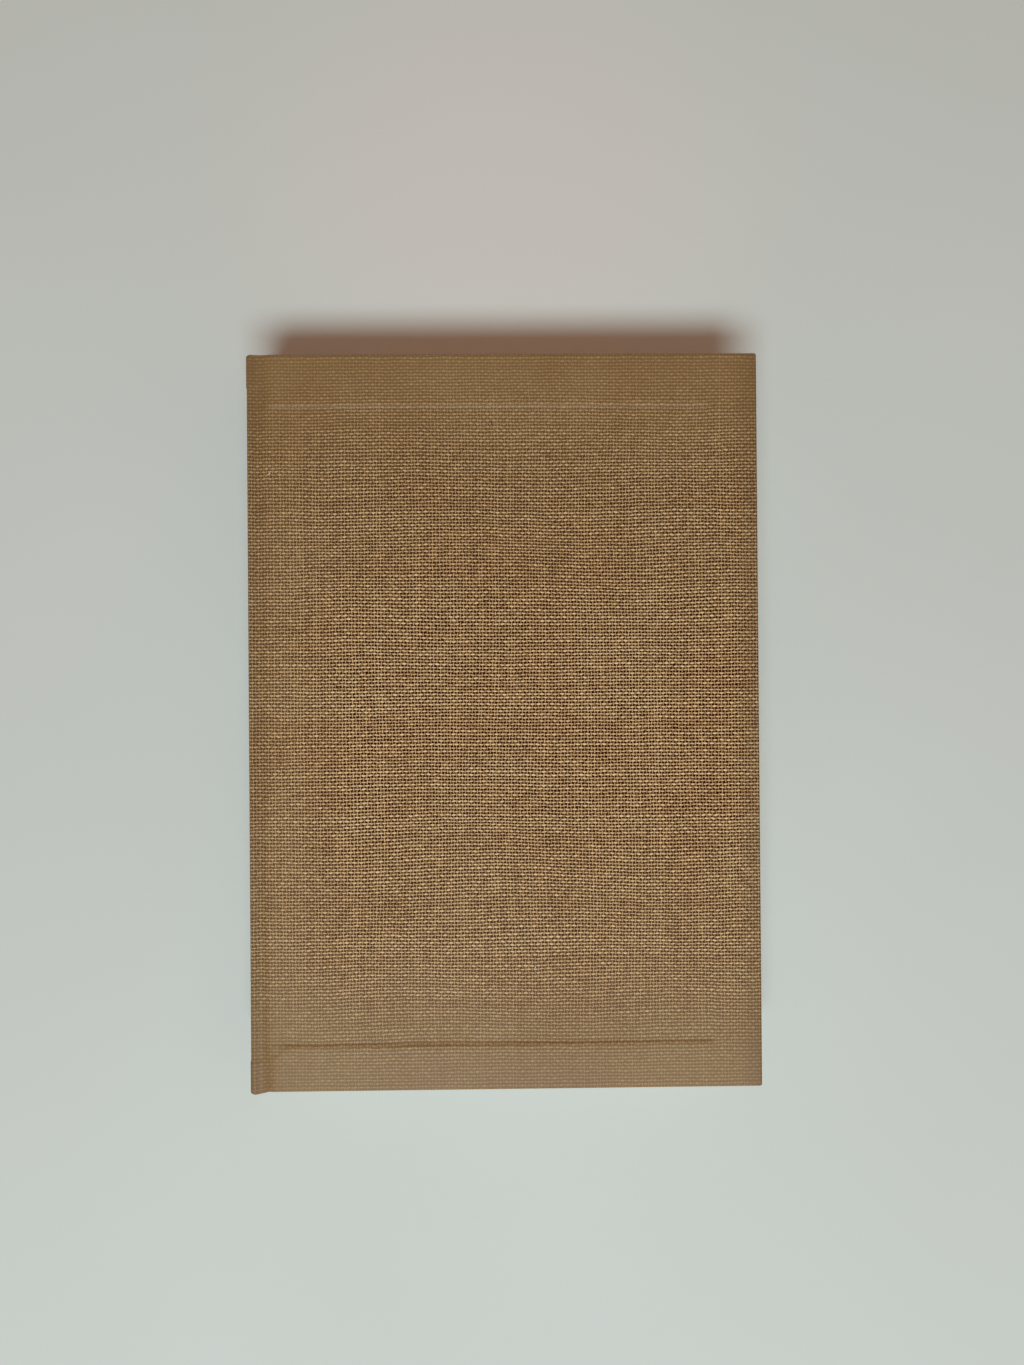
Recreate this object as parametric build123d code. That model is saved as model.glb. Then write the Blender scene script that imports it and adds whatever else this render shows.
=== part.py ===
from build123d import *
from math import hypot, sqrt
import os

# A cloth-bound journal lying closed on its back cover, in millimetres.
# X runs from the spine to the fore edge, Y from the tail to the head, Z is up.

# Page block
page_width = 144.5
page_height = 210.0
section_count = 14
section_thickness = 1.63
fold_depth = 0.45  # how far each folded section bulges at the spine

# Endpapers
endpaper_thickness = 0.2

# Boards and cloth
board_thickness = 2.4
cloth_thickness = 0.4
square = 2.75  # how far the covers stand past the pages at head, tail and fore edge
turn_in_head = 15.4
turn_in_tail = 13.5
turn_in_fore = 14.3
turn_in_slope = 0.9  # width of the slope where the board climbs over a turn-in
cover_corner_radius = 1.2  # in plan, at the fore edge
cover_edge_radius = 0.8  # over the board's outer edges
joint_edge_radius = 1.3  # over the board's edge at the joint

# Spine and joints
spine_strip_thickness = 1.2
hollow_gap = 0.35  # between the turned-in spine cloth and the spine lining
shoulder_rise = 2.9  # how far the spine stands past the covers' inner faces
shoulder_radius = 1.2
joint_rise = 2.4  # the joint cloth's outer face past the covers' inner faces
shoulder_slope = 0.2  # width by which the cloth's outer face leads its inner face down the slope
swing_clearance = 0.4  # between the spine's shoulder and the cover that swings round it
joint_clearance = 0.3  # between the joint cloth and the cover's edge
spine_drop = 0.7  # how far the spine hangs past the boards at the tail
spine_corner_radius = 0.9
spine_turn_in = 14.0

# Spine linings and bands
mull_thickness = 0.2
mull_margin = 12.0  # from the mull's ends to the head and tail of the pages
lining_thickness = 0.15
lining_margin = 1.5
band_bead_radius = 0.8
band_flange_length = 9.0

# Heights
cover_depth = board_thickness + 2 * cloth_thickness
block_thickness = section_count * section_thickness
block_bottom = cover_depth + 2 * endpaper_thickness
block_top = block_bottom + block_thickness
front_inner = block_top + 2 * endpaper_thickness
total_thickness = front_inner + cover_depth
middle = total_thickness / 2

# Lengths, with the head of the cover and the tail of the spine at the two ends
cover_height = page_height + 2 * square
total_height = cover_height + spine_drop
head_y = total_height / 2
cover_tail_y = head_y - cover_height
spine_tail_y = -total_height / 2
page_head_y = head_y - square
page_tail_y = cover_tail_y + square

# Widths, counted from the outer face of the spine
hinge_inset = (
    2 * cloth_thickness
    + spine_strip_thickness
    + hollow_gap
    + lining_thickness
    + mull_thickness
)
cover_width = hinge_inset + page_width + square
spine_x = -cover_width / 2
fore_x = cover_width / 2
hinge_x = spine_x + hinge_inset
page_fore_x = hinge_x + page_width
strip_inner_x = spine_x + cloth_thickness + spine_strip_thickness

# The cover's edge lies as far from the hinge line as it needs to swing round the shoulder
shoulder_reach = shoulder_radius + hypot(
    hinge_inset - shoulder_radius, shoulder_rise - shoulder_radius
)
cover_joint_x = hinge_x + shoulder_reach + swing_clearance
joint_cloth_x = hinge_x + sqrt(
    (shoulder_reach + swing_clearance - joint_clearance) ** 2 - joint_rise**2
)


def slab(x_range, y_range, z_range):
    """A box between two places along each axis."""
    low, high = zip(x_range, y_range, z_range)
    size = [h - l for l, h in zip(low, high)]
    return Pos(*low) * Box(*size, align=(Align.MIN, Align.MIN, Align.MIN))


def prism(profile, y_range):
    """A profile drawn in the XZ plane, extruded from one place along Y to another."""
    tail, head = y_range
    placed = Plane((0, tail, 0), x_dir=(1, 0, 0), z_dir=(0, -1, 0)) * profile
    return extrude(placed, amount=head - tail, dir=(0, 1, 0))


def plan_prism(x_range, y_range, z_range, rounded_side, radius):
    """A slab with two corners rounded in plan, on side 0 (low X) or -1 (high X)."""
    body = slab(x_range, y_range, z_range)
    corners = body.edges().filter_by(Axis.Z).group_by(Axis.X)[rounded_side]
    return fillet(corners, radius)


def flipped(part):
    """The same part on the other cover."""
    return mirror(part, about=Plane.XY.offset(middle))


def panel_block(z_start, z_end):
    """A low block over the part of the board that no turn-in covers.

    Its walls slope inwards from z_start to z_end, halfway at the turn-ins' edges, and it
    runs out past the board at the joint.
    """
    low_x = spine_x
    high_x = fore_x - turn_in_fore + turn_in_slope / 2
    low_y = cover_tail_y + turn_in_tail - turn_in_slope / 2
    high_y = head_y - turn_in_head + turn_in_slope / 2
    centre = ((low_x + high_x) / 2, (low_y + high_y) / 2)
    wide = Rectangle(high_x - low_x, high_y - low_y)
    narrow = Rectangle(
        high_x - low_x - 2 * turn_in_slope, high_y - low_y - 2 * turn_in_slope
    )
    return loft([(Pos(*centre, z_start) * wide).face(), (Pos(*centre, z_end) * narrow).face()])


def round_over(body, edge_radius, joint_radius):
    """Rounds a cover's outer edges, and more loosely the one along the joint."""
    edges = body.faces().sort_by(Axis.Z)[-1].edges().sort_by(Axis.X)
    body = fillet(edges[1:], edge_radius)
    joint_edge = body.faces().sort_by(Axis.Z)[-1].edges().sort_by(Axis.X)[0]
    return fillet(joint_edge, joint_radius)


def cover_envelope():
    """The outside of the front cover: cloth and board together, with the sunk panel."""
    body = plan_prism(
        (cover_joint_x, fore_x),
        (cover_tail_y, head_y),
        (front_inner, total_thickness),
        -1,
        cover_corner_radius,
    )
    body = round_over(body, cover_edge_radius, joint_edge_radius)
    return body - panel_block(total_thickness, total_thickness - cloth_thickness)


def front_board():
    """A stiff board, pressed so that its margins ride up over the cloth's turn-ins."""
    board_low = front_inner + cloth_thickness
    board_high = total_thickness - cloth_thickness
    body = plan_prism(
        (cover_joint_x + cloth_thickness, fore_x - cloth_thickness),
        (cover_tail_y + cloth_thickness, head_y - cloth_thickness),
        (board_low, board_high),
        -1,
        cover_corner_radius - cloth_thickness,
    )
    body = round_over(
        body, cover_edge_radius - cloth_thickness, joint_edge_radius - cloth_thickness
    )
    body -= panel_block(board_high, board_high - cloth_thickness)
    plateau = panel_block(board_low, front_inner) & slab(
        (cover_joint_x + cloth_thickness, fore_x),
        (cover_tail_y, head_y),
        (front_inner, board_low),
    )
    return body + plateau


def front_cover_cloth():
    """The cloth glued round the board, with its turn-ins on the inner face."""
    return cover_envelope() - front_board()


def front_pastedown():
    """The half of the endpaper that is glued to the inside of the cover."""
    return slab(
        (cover_joint_x + joint_clearance, fore_x - square),
        (page_tail_y, page_head_y),
        (front_inner - endpaper_thickness, front_inner),
    )


def front_flyleaf():
    """The half of the endpaper that turns with the pages."""
    return slab(
        (hinge_x, page_fore_x),
        (page_tail_y, page_head_y),
        (block_top, block_top + endpaper_thickness),
    )


def page_block():
    """All the sewn sections as one block, with their folds rounded at the spine."""
    folds = []
    for k in range(section_count):
        low = block_bottom + k * section_thickness
        high = low + section_thickness
        root_x = hinge_x + fold_depth
        crest = (hinge_x, (low + high) / 2)
        folds.append(ThreePointArc((root_x, low), crest, (root_x, high)))
    rest = Polyline(
        (hinge_x + fold_depth, block_top),
        (page_fore_x, block_top),
        (page_fore_x, block_bottom),
        (hinge_x + fold_depth, block_bottom),
    )
    return prism(make_face([*folds, *rest.edges()]), (page_tail_y, page_head_y))


def band(page_end_y, direction):
    """A rolled band at one end of the spine: a bead over the page edges and a glued flange."""
    flange_x = (hinge_x - mull_thickness, hinge_x)
    flange_far_y = page_end_y - direction * band_flange_length
    bead_y = page_end_y + direction * band_bead_radius
    flange = slab(flange_x, sorted((flange_far_y, bead_y)), (block_bottom, block_top))
    bead = Pos(hinge_x - mull_thickness + band_bead_radius, bead_y, block_bottom) * Cylinder(
        band_bead_radius, block_thickness, align=(Align.CENTER, Align.CENTER, Align.MIN)
    )
    return flange + bead


def spine_mull():
    """Open gauze glued over the folds."""
    return slab(
        (hinge_x - mull_thickness, hinge_x),
        (page_tail_y + mull_margin, page_head_y - mull_margin),
        (block_bottom, block_top),
    )


def spine_lining():
    """A strip of paper over the gauze and the bands' flanges."""
    outer_x = hinge_x - mull_thickness - lining_thickness
    return slab(
        (outer_x, hinge_x - mull_thickness),
        (page_tail_y + lining_margin, page_head_y - lining_margin),
        (block_bottom, block_top),
    )


def strip_profile():
    """The section of the spine strip, in X and Z, rounded where the cloth turns over it."""
    strip_top = front_inner + shoulder_rise - cloth_thickness
    height = 2 * (strip_top - middle)
    centre = (strip_inner_x - spine_strip_thickness / 2, middle)
    shape = Pos(*centre) * Rectangle(spine_strip_thickness, height)
    return fillet(shape.vertices().group_by(Axis.X)[0], shoulder_radius - cloth_thickness)


def spine_strip():
    """A strip of thinner board that stiffens the flat spine."""
    return prism(
        strip_profile(), (spine_tail_y + cloth_thickness, head_y - cloth_thickness)
    )


def spine_cloth_profile():
    """The section of the cloth over the spine, from one joint to the other."""
    shoulder_z = front_inner + shoulder_rise
    joint_z = front_inner + joint_rise
    mull_x = hinge_x - mull_thickness
    outline = [
        (joint_cloth_x, joint_z - cloth_thickness),
        (joint_cloth_x, joint_z),
        (mull_x + shoulder_slope, joint_z),
        (strip_inner_x + shoulder_slope, shoulder_z),
        (spine_x, shoulder_z),
        (spine_x, middle),
        (spine_x + cloth_thickness, middle),
        (spine_x + cloth_thickness, shoulder_z - cloth_thickness),
        (strip_inner_x, shoulder_z - cloth_thickness),
        (mull_x, joint_z - cloth_thickness),
    ]
    half = make_face(Polyline(*outline, close=True).edges())
    shoulder = half.vertices().sort_by_distance((spine_x, shoulder_z, 0))[0]
    half = fillet(shoulder, shoulder_radius)
    inner = half.vertices().sort_by_distance(
        (spine_x + cloth_thickness, shoulder_z - cloth_thickness, 0)
    )[0]
    half = fillet(inner, shoulder_radius - cloth_thickness)
    return half + mirror(half, about=Plane.XZ.offset(-middle))


def spine_cloth():
    """The cloth over the spine and into both joints, turned in at the head and the tail."""
    full = prism(spine_cloth_profile(), (spine_tail_y, head_y))
    ends = [
        (spine_tail_y, spine_tail_y + cloth_thickness, spine_tail_y + spine_turn_in),
        (head_y, head_y - cloth_thickness, head_y - spine_turn_in),
    ]
    for end_y, cap_y, flap_y in ends:
        full += prism(strip_profile(), sorted((end_y, cap_y)))
        full += slab(
            (strip_inner_x, strip_inner_x + cloth_thickness),
            sorted((end_y, flap_y)),
            (cover_depth, front_inner),
        )
    outline = plan_prism(
        (spine_x, cover_joint_x),
        (spine_tail_y, head_y),
        (0, total_thickness),
        0,
        spine_corner_radius,
    )
    return full & outline


def main():
    parts = {
        "page_block": page_block(),
        "front_flyleaf": front_flyleaf(),
        "back_flyleaf": flipped(front_flyleaf()),
        "head_band": band(page_head_y, 1),
        "tail_band": band(page_tail_y, -1),
        "spine_mull": spine_mull(),
        "spine_lining": spine_lining(),
        "spine_strip": spine_strip(),
        "spine_cloth": spine_cloth(),
        "front_board": front_board(),
        "front_cover_cloth": front_cover_cloth(),
        "front_pastedown": front_pastedown(),
        "back_board": flipped(front_board()),
        "back_cover_cloth": flipped(front_cover_cloth()),
        "back_pastedown": flipped(front_pastedown()),
    }
    os.makedirs("parts", exist_ok=True)
    for name, part in parts.items():
        part.label = name
        export_step(part, f"parts/{name}.step")


main()
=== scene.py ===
from math import cos, pi, radians, sin

import bpy
import numpy as np
from mathutils import Euler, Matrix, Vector


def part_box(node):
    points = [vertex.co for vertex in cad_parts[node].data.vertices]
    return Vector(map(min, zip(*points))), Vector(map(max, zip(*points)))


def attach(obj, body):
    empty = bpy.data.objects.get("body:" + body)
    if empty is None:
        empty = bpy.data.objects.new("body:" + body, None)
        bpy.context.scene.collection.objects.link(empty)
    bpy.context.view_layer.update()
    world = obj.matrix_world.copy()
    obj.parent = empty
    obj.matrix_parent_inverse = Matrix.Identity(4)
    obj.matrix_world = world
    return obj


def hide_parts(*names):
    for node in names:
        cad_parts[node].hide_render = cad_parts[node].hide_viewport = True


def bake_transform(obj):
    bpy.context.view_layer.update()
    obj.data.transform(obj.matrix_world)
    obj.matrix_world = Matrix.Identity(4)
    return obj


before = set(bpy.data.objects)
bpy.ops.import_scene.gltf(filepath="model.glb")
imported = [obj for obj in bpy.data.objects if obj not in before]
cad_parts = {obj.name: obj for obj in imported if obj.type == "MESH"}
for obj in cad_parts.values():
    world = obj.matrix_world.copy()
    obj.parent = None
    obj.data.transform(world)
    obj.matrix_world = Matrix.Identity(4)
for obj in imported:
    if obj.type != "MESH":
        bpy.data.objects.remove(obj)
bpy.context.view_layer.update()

# Lengths are in millimetres, and meshes are scaled to metres when they are made. Only
# the table, the lamp and the camera are placed in metres.
MM = 0.001

# Places taken from the solids
cover_low, cover_high = [np.array(p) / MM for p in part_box("front_cover_cloth")]
spine_low, spine_high = [np.array(p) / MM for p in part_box("spine_cloth")]
page_low, page_high = [np.array(p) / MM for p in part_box("page_block")]
total_thickness = cover_high[2]
front_inner = cover_low[2]
cover_depth = total_thickness - front_inner
fore_x = cover_high[0]
cover_joint_x = cover_low[0]
head_y = cover_high[1]
cover_tail_y = cover_low[1]
spine_x = spine_low[0]
spine_tail_y = spine_low[1]
hinge_x = page_low[0]

# Threads of the cloth
WEFT_PITCH = 0.99  # from one crosswise thread to the next, up the cover
WARP_PITCH = 0.94  # from one upright thread to the next, across the cover
ROW_SPREAD = 0.08  # how unevenly the crosswise threads are spaced
COLUMN_SPREAD = 0.07  # how unevenly the upright threads are spaced
SWAY = 0.5  # how far the threads stray from their lines
SWAY_WAVES = (9, 40, 150)  # how many waves that has, their shortest and longest length
SWAY_MARGIN = 26  # threads are straight at an edge and stray freely this far inside
WEAVE_RISE = 0.06
SIZED_ROWS = 46.0  # threads at the head and at the tail that size fills most

# Shape of the cover
EDGE_RADIUS = 0.8
CORNER_STEPS = 6
PANEL_DROP = 0.4  # how far the cover is sunk where no turn-in lies under it
TURN_IN_HEAD = 15.4
TURN_IN_TAIL = 13.5
TURN_IN_FORE = 14.3
STEP_WIDTH = 0.7
HEAD_STEP_WIDTH = 1.3
MITRE_X = spine_x + 10.5  # left of this the tail turn-in's edge bends down to the joint
MITRE_REACH = 3.0  # how far down it bends
MITRE_SHARE = 0.4  # how deep its step is there, as a share of the whole step
TURN_UNDER = 3.4  # how much of a turn-in is made on the inner face
TUCK = 0.35  # how far the cover's cloth dips where the joint's cloth lies over it

# Section of the joint, measured from the hinge line: u towards the fore edge, v outwards
SHOULDER_RADIUS = 1.2
BOARD_U = cover_joint_x - hinge_x
CREST = (spine_x + SHOULDER_RADIUS - hinge_x, spine_high[2] - front_inner)
GROOVE = (0.5, 2.4)
SEAM_U = BOARD_U + 1.4
PANEL_STEP_U = 2.0  # the edge of the sunk panel fades in from here to the seam
SPINE_STEP_FADE = (0.6, 3.0)  # the step at the spine's turn-in fades out between these
FOLD_THICKNESS = 0.75  # of the joint's folded cloth beside the spine
FOLD_U = 1.2  # from here it grows to the whole depth of the cover
END_RELIEF = 0.5  # how much of the weave's relief is left where a fold faces the end
JOINT_TURN_UNDER = 4.5
PAPER_BEND = (2.4, 4.6)  # further out, so that the endpaper clears the spine's shoulder
PAPER_MARGIN = 0.2  # how far past its bend the endpaper's strip is finely divided
PAPER_FACES = ((-0.05, 1), (-0.21, -1))  # height from the cover's inner face, and facing

# Where the cover's cloth ends under the joint's cloth
seam_x = hinge_x + SEAM_U
TUCKED_X = [cover_joint_x + 0.4, seam_x - 0.7, seam_x - 0.25, seam_x - 0.03]
DIP_X = seam_x - 0.1  # the columns left of this dip
COLUMNS = round((fore_x - EDGE_RADIUS - seam_x) / WARP_PITCH)

# Spine
SPINE_THICKNESS = 2.0
SPINE_TURN_IN = 9.7
SPINE_TURN_IN_ROWS = (SPINE_TURN_IN, 4.0, 0.0)  # how far in each row of its mesh lies
SPINE_STEP_DEPTH = 0.16
SPINE_STEP_WIDTH = 1.0
SPINE_END_RADIUS = 0.85
INNER_SINK = 0.34  # how far the turn-in's inner layer lies below the shoulder
INNER_COUNT = 0.9  # thread counts from one point of that layer to the next
HANG_FADE = (hinge_x - 0.8, cover_joint_x)  # the hanging cloth rises between these
HANG_ROWS = 14  # rows up to this far from the tail are drawn down with it

# Pages
SECTION_COUNT = 14
LEAVES_IN_SECTION = 16
LEAF_COUNT = SECTION_COUNT * LEAVES_IN_SECTION
LEAF = (page_high[2] - page_low[2]) / LEAF_COUNT
FOLD_DEPTH = 0.45
LEAF_EDGE = 0.015  # how far a leaf's edge lies inside the outline
LEAF_GAP = 0.07  # and the gap between two leaves
SECTION_GAP = 0.13  # and the gap between two sections
LEAF_SHIFT = 0.035  # how far a leaf is out of line
SECTION_SHIFT = 0.05  # and a section
PAGE_WAVE = 0.03  # how far the block's edges waver
PAGE_WAVES = (5, 60, 160)  # how many waves that has, their shortest and longest length
SECTION_STRIDE = 9.0  # each section reads the waves this much further across
LEAF_STRIDE = 0.8  # and each leaf this much further up

# Bands, gauze and lint
BAND_RADIUS = 0.8
BAND_TURN = 0.38  # from one turn of the silk to the next
BAND_STRIPE = 4 * BAND_TURN  # two turns of each colour
BAND_RELIEF = 0.05  # how far a turn stands out on either side of the mean
FLANGE_THICKNESS = 0.2
GAUZE_PITCH = 1.1
LINT_RADIUS = 0.16
LINT_BEND = 0.2  # how far a fibre's ends are bent aside, as a share of its length
LINT_TAPER = 0.8  # how much thinner its ends are, as a share of its radius

# Surroundings
PAINTED_GLOW_SPOT = (0, 165, 0)  # where a warm glow is painted on the table, beyond the head edge
TABLE_HALF = 4.0  # half of the table's width
KEY_ELEVATION = 59.5  # degrees above the table
KEY_DISTANCE = 1.8
KEY_X = -0.06
KEY_SIZE = (1.05, 0.5)  # across and up, as seen from the book
KEY_POWER = 24
KEY_COLOUR = (0.72, 0.95, 1.0)
FILL_COLOUR = (1.0, 0.61, 0.42, 1.0)
FILL_STRENGTH = 0.27
CAMERA_PLACE = (-0.0017, 0.0105, 0.3301)
CAMERA_TURN = (0.22, -0.77, -0.44)  # degrees from straight down
CAMERA_LENS = 27.06
CAMERA_SENSOR = 36


def smooth_step(low, high, value):
    """0 below low, 1 above high, and a smooth rise between."""
    t = np.clip((value - low) / (high - low), 0, 1)
    return t * t * (3 - 2 * t)


def random_waves(seed, count, shortest, longest):
    """A smooth random function of x and y, about -1 to 1."""
    waves = np.random.default_rng(seed)
    length = waves.uniform(shortest, longest, count)
    angle = waves.uniform(0, 2 * pi, count)
    phase = waves.uniform(0, 2 * pi, count)

    def value(x, y):
        total = 0
        for k in range(count):
            along = x * cos(angle[k]) + y * sin(angle[k])
            total = total + np.sin(2 * pi * along / length[k] + phase[k])
        return total / count**0.5

    return value


def table(*parts):
    """One row for each point from its coordinates. A single number serves for all."""
    return np.stack(np.broadcast_arrays(*parts), -1).reshape(-1, len(parts))


def quad_faces(index):
    """Faces between neighbouring rows and columns of a table of vertex numbers. Where a
    number comes twice in a face, the face has three corners."""
    a, b = index[:-1, :-1], index[:-1, 1:]
    c, d = index[1:, 1:], index[1:, :-1]
    corners = np.stack([a, b, c, d], axis=-1).reshape(-1, 4).tolist()
    return [list(dict.fromkeys(face)) for face in corners]


def turned(faces, direction=-1):
    """The same faces, looking the other way where the direction is negative."""
    return [face[::-1] for face in faces] if direction < 0 else faces


def closed(rings):
    """Rings of vertex numbers, each ending where it began."""
    rings = np.array(rings)
    return np.column_stack([rings, rings[:, 0]])


def tube_faces(rings):
    """Faces of a tube from its rings of vertex numbers, with a cap at either end."""
    return [*quad_faces(closed(rings)), rings[0][::-1].tolist(), rings[-1].tolist()]


def make_mesh(name, points, faces, material, threads=None, flipped=False):
    """A smooth object from points in millimetres, with thread counts as its UV map."""
    mesh = bpy.data.meshes.new(name)
    if flipped:
        points = points * (1, 1, -1) + (0, 0, total_thickness)
        faces = turned(faces)
    mesh.from_pydata((points * MM).tolist(), [], faces)
    if threads is not None:
        corner = np.empty(len(mesh.loops), int)
        mesh.loops.foreach_get("vertex_index", corner)
        layer = mesh.uv_layers.new(name="threads")
        layer.data.foreach_set("uv", threads[corner].astype(np.float32).ravel())
    mesh.polygons.foreach_set("use_smooth", [True] * len(mesh.polygons))
    mesh.materials.append(material)
    mesh.update()
    made = bpy.data.objects.new(name, mesh)
    bpy.context.scene.collection.objects.link(made)
    return made


class Sheet:
    """Points, thread counts and faces of a piece of cloth, gathered part by part."""

    def __init__(self):
        self.points = []
        self.threads = []
        self.faces = []
        self.made = 0

    def add(self, places, counts):
        """Adds points with their thread counts, and gives the points' numbers."""
        self.points.append(table(*places))
        self.threads.append(table(*counts))
        numbers = self.made + np.arange(len(self.points[-1]))
        self.made += len(numbers)
        return numbers

    def make(self, name, material, flipped=False):
        """The object made of all that was added."""
        points = np.concatenate(self.points)
        threads = np.concatenate(self.threads)
        return make_mesh(name, points, self.faces, material, threads, flipped)


class Shader:
    """A material or world whose nodes are made and joined by short calls."""

    def __init__(self, tree):
        self.tree = tree
        self.nodes = tree.nodes
        self.nodes.clear()

    def node(self, kind, inputs=(), **settings):
        made = self.nodes.new(kind)
        for name, value in settings.items():
            setattr(made, name, value)
        for key, value in dict(inputs).items():
            self.give(made.inputs[key], value)
        return made

    def give(self, socket, value):
        """Joins an output to an input, or sets the input to a plain value."""
        if isinstance(value, bpy.types.NodeSocket):
            self.tree.links.new(value, socket)
        else:
            socket.default_value = value

    def math(self, operation, a, b=0.0, c=0.0):
        made = self.node("ShaderNodeMath", {0: a, 1: b, 2: c}, operation=operation)
        return made.outputs[0]

    def ramp(self, value, low, high, to_low=0.0, to_high=1.0):
        """A smooth rise from to_low to to_high as value goes from low to high."""
        made = self.node(
            "ShaderNodeMapRange",
            {0: value, 1: low, 2: high, 3: to_low, 4: to_high},
            interpolation_type="SMOOTHSTEP",
        )
        return made.outputs[0]

    def colour(self, factor, a, b, blend="MIX"):
        made = self.node(
            "ShaderNodeMix",
            {"Factor": factor},
            data_type="RGBA",
            blend_type=blend,
        )
        self.give(made.inputs[6], a)
        self.give(made.inputs[7], b)
        return made.outputs[2]

    def vector(self, x, y, z=0.0):
        return self.node("ShaderNodeCombineXYZ", {0: x, 1: y, 2: z}).outputs[0]

    def noise(self, vector, scale=1.0, detail=0.0, roughness=0.5):
        made = self.node(
            "ShaderNodeTexNoise",
            {"Vector": vector, "Scale": scale, "Detail": detail, "Roughness": roughness},
        )
        return made.outputs[0]

    def random(self, vector):
        made = self.node(
            "ShaderNodeTexWhiteNoise", {"Vector": vector}, noise_dimensions="3D"
        )
        return made.outputs[0]

    def place(self):
        """The point in the object's own space, in millimetres."""
        spot = self.node("ShaderNodeTexCoord").outputs["Object"]
        scaled = self.node(
            "ShaderNodeVectorMath", {0: spot, "Scale": 1 / MM}, operation="SCALE"
        )
        return scaled.outputs[0]

    def distance(self, place, centre):
        made = self.node(
            "ShaderNodeVectorMath", {0: place, 1: centre}, operation="DISTANCE"
        )
        return made.outputs["Value"]

    def split(self, vector):
        return self.node("ShaderNodeSeparateXYZ", {0: vector}).outputs

    def bump(self, height, distance, strength=1.0):
        made = self.node(
            "ShaderNodeBump",
            {"Height": height, "Distance": distance * MM, "Strength": strength},
        )
        return made.outputs[0]

    def surface(self, **inputs):
        """The closing shader node. Names use _ for the spaces in its sockets' names."""
        named = {key.replace("_", " "): value for key, value in inputs.items()}
        shader = self.node("ShaderNodeBsdfPrincipled", named)
        output = self.node("ShaderNodeOutputMaterial")
        self.tree.links.new(shader.outputs[0], output.inputs["Surface"])


def new_material(name):
    material = bpy.data.materials.new(name)
    material.use_nodes = True
    return material, Shader(material.node_tree)


def linear(red, green, blue):
    """A colour as a screen shows it, 0 to 255, turned into the shader's own values."""
    channels = []
    for value in (red, green, blue):
        value = value / 255
        low = value / 12.92
        high = ((value + 0.055) / 1.055) ** 2.4
        channels.append(low if value <= 0.04045 else high)
    return (*channels, 1.0)


def thread_height(s, across, wave, half_width, level, swing):
    """Height of one set of threads: round across, and rising and falling along."""
    offset = s.math("DIVIDE", across, half_width)
    round_part = s.math("SUBTRACT", 1.0, s.math("MULTIPLY", offset, offset))
    crest = s.math("MULTIPLY_ADD", wave, swing, level)
    return s.math("MULTIPLY", s.math("MAXIMUM", round_part, 0.0), crest)


def swayed(s, counts, seed):
    """How far threads sway over a few centimetres, either way, in thread counts."""
    moved = s.node("ShaderNodeVectorMath", {0: counts, 1: (0, 0, seed)}).outputs[0]
    return s.ramp(s.noise(moved, 0.12), 0.2, 0.8, -0.08, 0.08)


def crossing_threads(s, u, v, row, column):
    """Heights of the crosswise and the upright thread at a place, and how thick the
    crosswise one is. Each thread has thick and thin stretches and wanders a little."""
    row_seed = s.math("MULTIPLY", row, 7.31)
    column_seed = s.math("MULTIPLY", column, 5.77)
    weft_slub = s.noise(s.vector(s.math("MULTIPLY", u, 0.35), row_seed))
    warp_slub = s.noise(s.vector(s.math("MULTIPLY", v, 0.3), column_seed, 40.0))
    weft_wander = s.ramp(s.noise(s.vector(u, row_seed, 80.0)), 0.1, 0.9, -0.1, 0.1)
    warp_wander = s.ramp(s.noise(s.vector(v, column_seed, 120.0)), 0.1, 0.9, -0.13, 0.13)
    across_row = s.math("ADD", s.math("SUBTRACT", v, row), weft_wander)
    across_column = s.math("ADD", s.math("SUBTRACT", u, column), warp_wander)

    weft_wave = s.math("COSINE", s.math("MULTIPLY", s.math("ADD", u, row), pi))
    warp_turn = s.math("MULTIPLY", s.math("ADD", v, column), pi)
    warp_wave = s.math("MULTIPLY", s.math("COSINE", warp_turn), -1.0)
    weft_width = s.ramp(weft_slub, 0.25, 0.75, 0.26, 0.35)
    warp_width = s.ramp(warp_slub, 0.25, 0.75, 0.18, 0.27)
    weft_half = s.math("MULTIPLY_ADD", weft_wave, 0.06, weft_width)
    warp_half = s.math("MULTIPLY_ADD", warp_wave, 0.03, warp_width)
    weft_height = thread_height(s, across_row, weft_wave, weft_half, 0.68, 0.3)
    warp_height = thread_height(s, across_column, warp_wave, warp_half, 0.52, 0.3)
    return weft_height, warp_height, weft_slub


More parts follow.
